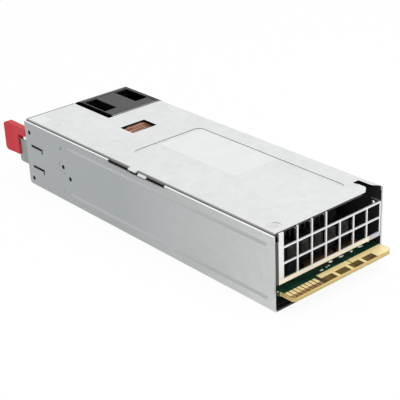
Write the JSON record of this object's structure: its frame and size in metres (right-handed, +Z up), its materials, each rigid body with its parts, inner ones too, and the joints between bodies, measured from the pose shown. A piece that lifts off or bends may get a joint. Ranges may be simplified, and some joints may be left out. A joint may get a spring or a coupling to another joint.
{
  "type": "power_supply",
  "caption": "1U hot swap server power supply with a gold card edge, open rear grille, AC inlet moulding, fan, bail handle and a sprung red release latch",
  "frame": {"origin": "Middle of the case's underside, on the resting plane, half way along the case without tongue and tab", "axes": "+Y to the card edge at the rear, -Y to the inlet and fan, +X to the side with the latch, +Z up"},
  "size_m": [0.0741, 0.2345, 0.04],
  "materials": {
    "galvanised": "satin",
    "screw_steel": "satin",
    "black_plastic": "matte",
    "bearing_steel": "polished",
    "black_steel": "satin",
    "inlet_plastic": "matte",
    "nickel_pins": "polished",
    "clear_lens": "clear",
    "spring_steel": "satin",
    "red_plastic": "gloss",
    "chrome_wire": "satin",
    "board_green": "solder mask",
    "gold": "polished",
    "brass_posts": "satin",
    "film": "satin",
    "ferrite": "matte",
    "copper": "enamelled",
    "grey_box": "matte",
    "blue_disc": "gloss",
    "glass_fuse": "glazed",
    "black_box": "matte",
    "sink_aluminium": "satin",
    "can_sleeve": "satin",
    "tape_yellow": "gloss",
    "copper_bar": "tinned"
  },
  "bodies": {
    "chassis": {"base_tray": "galvanised", "top_cover": "galvanised", "rear_grille": "galvanised", "front_panel": "galvanised", "case_screws": "screw_steel", "fan_frame": "black_plastic", "fan_screws": "black_steel", "inlet_housing": "inlet_plastic", "inlet_pins": "nickel_pins", "status_light": "clear_lens", "latch_bracket": "galvanised", "latch_pin": "bearing_steel", "latch_spring": "spring_steel", "main_board": "board_green", "power_pads": "gold", "signal_pads": "gold", "board_standoffs": "brass_posts", "board_screws": "screw_steel", "insulator_sheet": "film", "choke_core": "ferrite", "choke_winding": "copper", "choke_base": "black_plastic", "x_capacitor": "grey_box", "y_capacitors": "blue_disc", "fuse_link": "glass_fuse", "relay_box": "black_box", "rectifier": "black_box", "rectifier_sink": "sink_aluminium", "boost_choke": "copper", "bulk_capacitors": "can_sleeve", "primary_heatsink": "sink_aluminium", "power_transistors": "black_box", "transformer_core": "ferrite", "transformer_winding": "tape_yellow", "resonant_inductor": "ferrite", "standby_transformer": "ferrite", "output_spreader": "sink_aluminium", "output_capacitors": "can_sleeve", "output_bus": "copper_bar", "control_card": "board_green", "control_chips": "black_box"},
    "fan": {"fan_rotor": "black_plastic", "fan_shaft": "bearing_steel"},
    "latch": {"latch_plate": "spring_steel", "latch_tab": "red_plastic"},
    "handle": {"handle_bail": "chrome_wire"}
  },
  "joints": [
    {"name": "fan_spin", "type": "hinge", "parent": "chassis", "child": "fan", "pos_m": [0.0147, -0.0865, 0.0193], "axis": [0, 1, 0], "continuous": true},
    {"name": "latch_press", "type": "hinge", "parent": "chassis", "child": "latch", "pos_m": [0.0338, -0.0622, 0.01905], "axis": [0, 0, -1], "range_deg": [0, 2.6], "stiffness_Nm_per_rad": 0.8, "springref_deg": -6.88, "deforming": ["latch_spring"]},
    {"name": "handle_swing", "type": "hinge", "parent": "chassis", "child": "handle", "pos_m": [0.0135, -0.1041, 0.0103], "axis": [1, 0, 0], "range_deg": [0, 90]}
  ]
}
